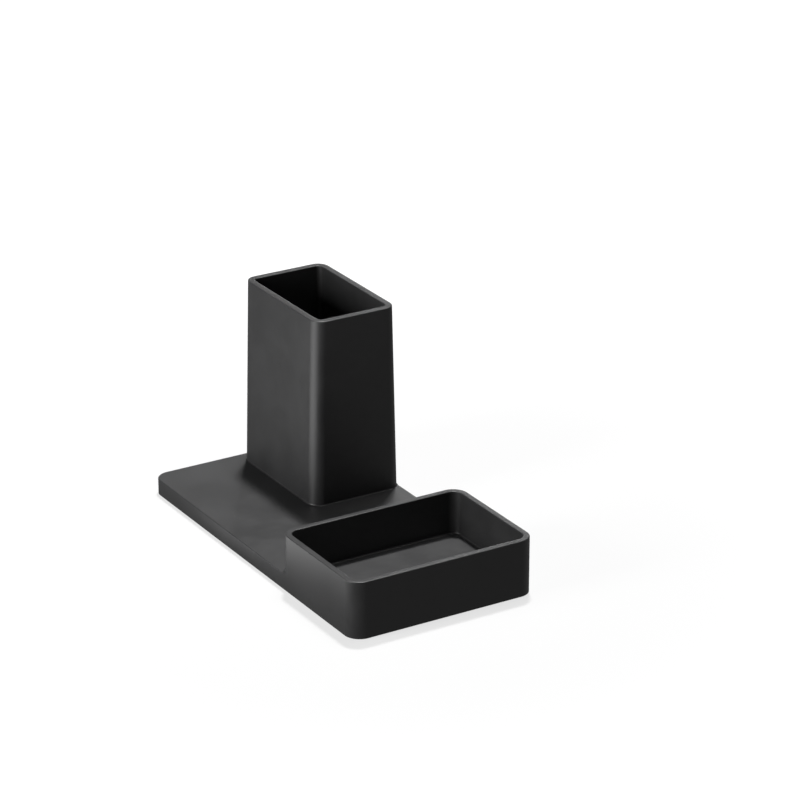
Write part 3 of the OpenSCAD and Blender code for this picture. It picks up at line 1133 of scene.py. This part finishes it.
@dataclass
class Screw:
    """A steel screw, head down, with a cross recess and a thread."""

    finish: Material
    head: Head
    shank_radius: float
    head_height: float
    pitch: float
    thread_depth: float = 0.3 * MM
    # Half the ridge's height at its root, as a share of the pitch
    ridge_share: float = 0.45
    turn_steps: int = 24
    recess_reach: float = 1.2 * MM
    recess_wall: float = 0.5 * MM
    recess_depth: float = 0.7 * MM
    recess_steps: int = 2
    head_edge: float = 0.15 * MM
    round_steps: int = 32

    @property
    def core(self) -> float:
        """The shank's radius between the turns of the thread."""
        return self.shank_radius - self.thread_depth

    def _profile(self, low: float, high: float) -> List[Pair]:
        """The screw's half section, without its thread.

        Args:
            low: the height of the head's face.
            high: the height of the tip.

        Returns:
            (radius, height) of each ring, from the face up.
        """
        radius, neck = self.head.value, low + self.head_height
        if self.head is Head.COUNTERSUNK:
            head = [(radius - self.head_edge, low), (radius, low + self.head_edge)]
        else:
            head = rounded_face(radius, self.head_height / 2, low)
            head += [(radius, neck - self.head_edge), (radius - self.head_edge, neck)]
        shank = [(self.shank_radius, neck), (self.shank_radius, neck + self.thread_depth),
                 (self.core, neck + 2 * self.thread_depth)]
        return head + shank + [(self.core, high - self.core), (self.core / 4, high)]

    def _thread(self, place: Vector, start: float, end: float) -> Object:
        """The thread's ridge, a small triangle wound up the shank.

        Args:
            place: the point below the screw's middle.
            start: the height where it starts.
            end: the height that it stays below.

        Returns:
            The ridge.
        """
        ridge = begin("thread_part", bpy.ops.mesh.primitive_circle_add, vertices=3, radius=1,
                      fill_type="NOTHING", location=(0, 0, 0))
        root, rise = self.core - self.thread_depth / 2, self.ridge_share * self.pitch
        with editing(ridge, Element.POINT) as mesh:
            for point, (x, z) in zip(mesh.verts, ((root, -rise), (self.shank_radius, 0.0), (root, rise))):
                point.co = Vector((x, 0, z))
            bmesh.update_edit_mesh(ridge.data)
        modify(ridge, "SCREW", axis="Z", screw_offset=self.pitch, iterations=int((end - start) / self.pitch),
               steps=self.turn_steps, render_steps=self.turn_steps, use_normal_calculate=True)
        with editing(ridge, Element.EDGE):
            select(ridge, Element.EDGE, is_open)
            bpy.ops.mesh.edge_face_add()
            bpy.ops.mesh.select_all(action="SELECT")
            bpy.ops.transform.translate(value=place + Vector((0, 0, start + self.pitch / 2)))
            bpy.ops.mesh.normals_make_consistent(inside=False)
        return ridge

    def _cross(self, place: Vector, low: float, along_x: bool) -> Object:
        """One bar of the cross recess.

        Args:
            place: the point below the screw's middle.
            low: the height of the head's face.
            along_x: whether the bar runs along X.

        Returns:
            The solid to cut out.
        """
        reach = (self.recess_reach, self.recess_wall / 2)
        dx, dy = reach if along_x else reversed(reach)
        plan = Plan(place.x - dx, place.x + dx, place.y - dy, place.y + dy, self.recess_wall / 4)
        return slab("cross_part", plan, low - OVERRUN, low + self.recess_depth, self.recess_steps)

    def build(self, kind: str, places: Dict[Corner, Vector]) -> None:
        """Models one screw, copies it to the other corners, and reports all four.

        Args:
            kind: what the screws' nodes are called, less the corner.
            places: the point below each screw's middle.
        """
        node, spot = Corner.FRONT_LEFT.node(kind), places[Corner.FRONT_LEFT]
        low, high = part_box(node)
        screw = turned(f"{node}_visual", spot, self._profile(low.z, high.z), self.round_steps)
        start = low.z + self.head_height + 2 * self.thread_depth
        join_solids(screw, self._thread(spot, start, high.z - self.shank_radius), Joining.ADD)
        for along_x in (True, False):
            join_solids(screw, self._cross(spot, low.z, along_x), Joining.CUT)
        dress(screw, self.finish)
        spread(screw, kind, "screw_steel", places)


def direction(azimuth: float, elevation: float) -> Vector:
    """The direction at so many degrees from +X and so many above the floor."""
    az, el = math.radians(azimuth), math.radians(elevation)
    return Vector((math.cos(el) * math.cos(az), math.cos(el) * math.sin(az), math.sin(el)))


def hang(data: ID, place: Vector, back: Vector) -> Object:
    """Adds a camera or a lamp to the scene.

    Args:
        data: the camera or lamp, which also gives the name.
        place: where it hangs.
        back: the direction that it looks away from.

    Returns:
        The object.
    """
    thing = bpy.data.objects.new(data.name, data)
    thing.location = place
    thing.rotation_mode = "QUATERNION"
    thing.rotation_quaternion = back.to_track_quat("Z", "Y")
    bpy.context.scene.collection.objects.link(thing)
    return thing


@dataclass(frozen=True)
class Softbox:
    """A lamp that faces the object: its place in degrees and metres, and its face.

    The radiance says how bright the face is, where white paper in full light is 1.
    """

    name: str
    azimuth: float
    elevation: float
    distance: float
    size: Pair
    radiance: float

    def build(self) -> None:
        """Hangs the lamp."""
        data = bpy.data.lights.new(self.name, "AREA")
        data.shape = "RECTANGLE"
        data.size, data.size_y = self.size
        data.energy = self.radiance * math.pi * self.size[0] * self.size[1]
        towards = direction(self.azimuth, self.elevation)
        hang(data, towards * self.distance, towards).visible_camera = False


@dataclass(frozen=True)
class Studio:
    """A pale floor, soft light and the camera at the photograph's angle."""

    frame_px: int = 800
    sensor: float = 36.0
    azimuth: float = -31.163
    elevation: float = 22.677
    distance: float = 1.672
    focal_px: float = 3446.0
    aim: Tuple[float, float, float] = (0.0, 0.0, 40.5 * MM)
    aim_px: Pair = (336.92, 464.45)
    sight: float = 50.0
    floor_size: float = 12.0
    paper_colour: Colour = (0.15, 0.15, 0.15)
    room_level: float = 0.04
    # (distance, level) pairs: the paper's painted glow, an emission that grows with its distance from the
    # object
    painted_glow_near: Pair = (0.15, 0.722)
    painted_glow_far: Pair = (0.45, 0.9)
    # The painted pool of light on the paper on the key light's side, which only the plastic sees: its middle,
    # half sizes, edge and level
    painted_pool_middle: Pair = (-0.035, -0.488)
    painted_pool_half: Pair = (0.176, 0.387)
    painted_pool_inner: Pair = (1.0, 3.15)
    painted_pool_outer: Pair = (1.138, 0.24)
    lamps: Tuple[Softbox, ...] = (
        Softbox("key_softbox", 270, 19, 1.2, (0.35, 0.5), 20.0),
        Softbox("top_spot", 140, 75.3, 1.8, (0.13, 0.13), 850.0),
        Softbox("top_softbox", 98, 77, 1.8, (0.5, 0.5), 10.5),
        Softbox("back_softbox", 142, 8, 2.0, (0.45, 0.3), 8.5),
    )

    def camera(self) -> None:
        """Places the camera so that the aimed point falls on its pixel."""
        back = direction(self.azimuth, self.elevation)
        turn = math.radians(self.azimuth)
        right = Vector((-math.sin(turn), math.cos(turn), 0.0))
        middle_px = (self.frame_px - 1) / 2
        across = (self.aim_px[0] - middle_px) * self.distance / self.focal_px
        above = (middle_px - self.aim_px[1]) * self.distance / self.focal_px
        data = bpy.data.cameras.new("camera")
        data.sensor_width = self.sensor
        data.lens = self.focal_px / self.frame_px * self.sensor
        data.clip_end = self.sight
        place = Vector(self.aim) + back * self.distance - right * across - back.cross(right) * above
        bpy.context.scene.camera = hang(data, place, back)

    def floor(self) -> None:
        """Lays the floor: white paper with a painted glow to the eye; the plastic sees a painted pool of
        light on the key light's side.
        """
        ground = begin("floor", bpy.ops.mesh.primitive_plane_add, size=self.floor_size)
        material = bpy.data.materials.new("paper")
        material.use_nodes = True
        tree = material.node_tree
        tree.nodes.remove(tree.nodes["Principled BSDF"])
        place = tree.nodes.new("ShaderNodeTexCoord").outputs["Object"]
        # Painted glow: the paper gives off light to the eye, more of it further from the object
        level = ramp(tree, distance_of(tree, place), self.painted_glow_near, self.painted_glow_far)
        painted_glow = put(tree, "ShaderNodeEmission", {"Strength": level})
        paper = put(tree, "ShaderNodeBsdfDiffuse", {"Color": (*self.paper_colour, 1)})
        seen = put(tree, "ShaderNodeAddShader", {0: paper.outputs["BSDF"], 1: painted_glow.outputs["Emission"]})
        # The painted pool of light as a circle of radius 1 about its own middle
        oval = put(tree, "ShaderNodeMapping", {
            "Vector": place, "Scale": (*(1 / half for half in self.painted_pool_half), 0),
            "Location": (*(-at / half for at, half in zip(self.painted_pool_middle, self.painted_pool_half)), 0)})
        painted_pool_level = ramp(tree, distance_of(tree, oval.outputs["Vector"]), self.painted_pool_inner, self.painted_pool_outer)
        # The painted pool of light: the paper gives it off to reflections only
        painted_pool_light = put(tree, "ShaderNodeEmission", {"Strength": painted_pool_level})
        path = tree.nodes.new("ShaderNodeLightPath")
        choice = put(tree, "ShaderNodeMixShader", {
            "Fac": path.outputs["Is Camera Ray"], 1: painted_pool_light.outputs["Emission"], 2: seen.outputs["Shader"]})
        tree.links.new(choice.outputs["Shader"], tree.nodes["Material Output"].inputs["Surface"])
        ground.data.materials.append(material)

    def room(self) -> None:
        """Sets a dim room round everything, which looks white to the eye."""
        world = bpy.data.worlds.new("room")
        world.use_nodes = True
        tree, sky = world.node_tree, world.node_tree.nodes["Background"]
        path = tree.nodes.new("ShaderNodeLightPath")
        level = put(tree, "ShaderNodeMapRange", {
            "Value": path.outputs["Is Camera Ray"], "To Min": self.room_level, "To Max": 1.0})
        sky.inputs["Color"].default_value = (1, 1, 1, 1)
        tree.links.new(level.outputs["Result"], sky.inputs["Strength"])
        bpy.context.scene.world = world

    def build(self) -> None:
        """Sets everything up."""
        bpy.context.scene.view_settings.view_transform = "Standard"
        self.camera()
        self.floor()
        self.room()
        for lamp in self.lamps:
            lamp.build()


def main() -> None:
    """Builds the studio and the pen holder."""
    logging.basicConfig(level=logging.INFO, format="%(name)s: %(message)s")
    Studio().build()
    plastic = MouldedPlastic("satin_black_plastic", colour=(0.0265, 0.0265, 0.027), roughness=(0.42, 0.47))
    body = plastic.build()
    inner = MouldedPlastic("inner_black_plastic", colour=(0.023, 0.023, 0.0235), roughness=(0.44, 0.52),
                           clouds_per_metre=70.0)
    matte = MouldedPlastic("matte_black_plastic", colour=(0.021, 0.021, 0.0215), roughness=(0.52, 0.62),
                           grains_per_metre=2400.0, grain_depth=0.012 * MM)
    steel = ZincSteel().build()
    fixings = Fixings()
    base = Base(body)
    base.build(fixings)
    cup = PenCup(body)
    cup.build()
    CupFloor(inner.build()).build(cup, fixings)
    BottomCover(matte.build()).build(base, fixings)
    Foot(Rubber().build()).build(fixings)
    screw = Screw(steel, Head.COUNTERSUNK, shank_radius=1.25 * MM, head_height=1.05 * MM, pitch=0.9 * MM)
    screw.build("cover_screw", fixings.feet)
    screw = Screw(steel, Head.PAN, shank_radius=1.5 * MM, head_height=1.9 * MM, pitch=1.1 * MM)
    screw.build("tower_screw", fixings.tower_screws)


if __name__ == "__main__":
    main()
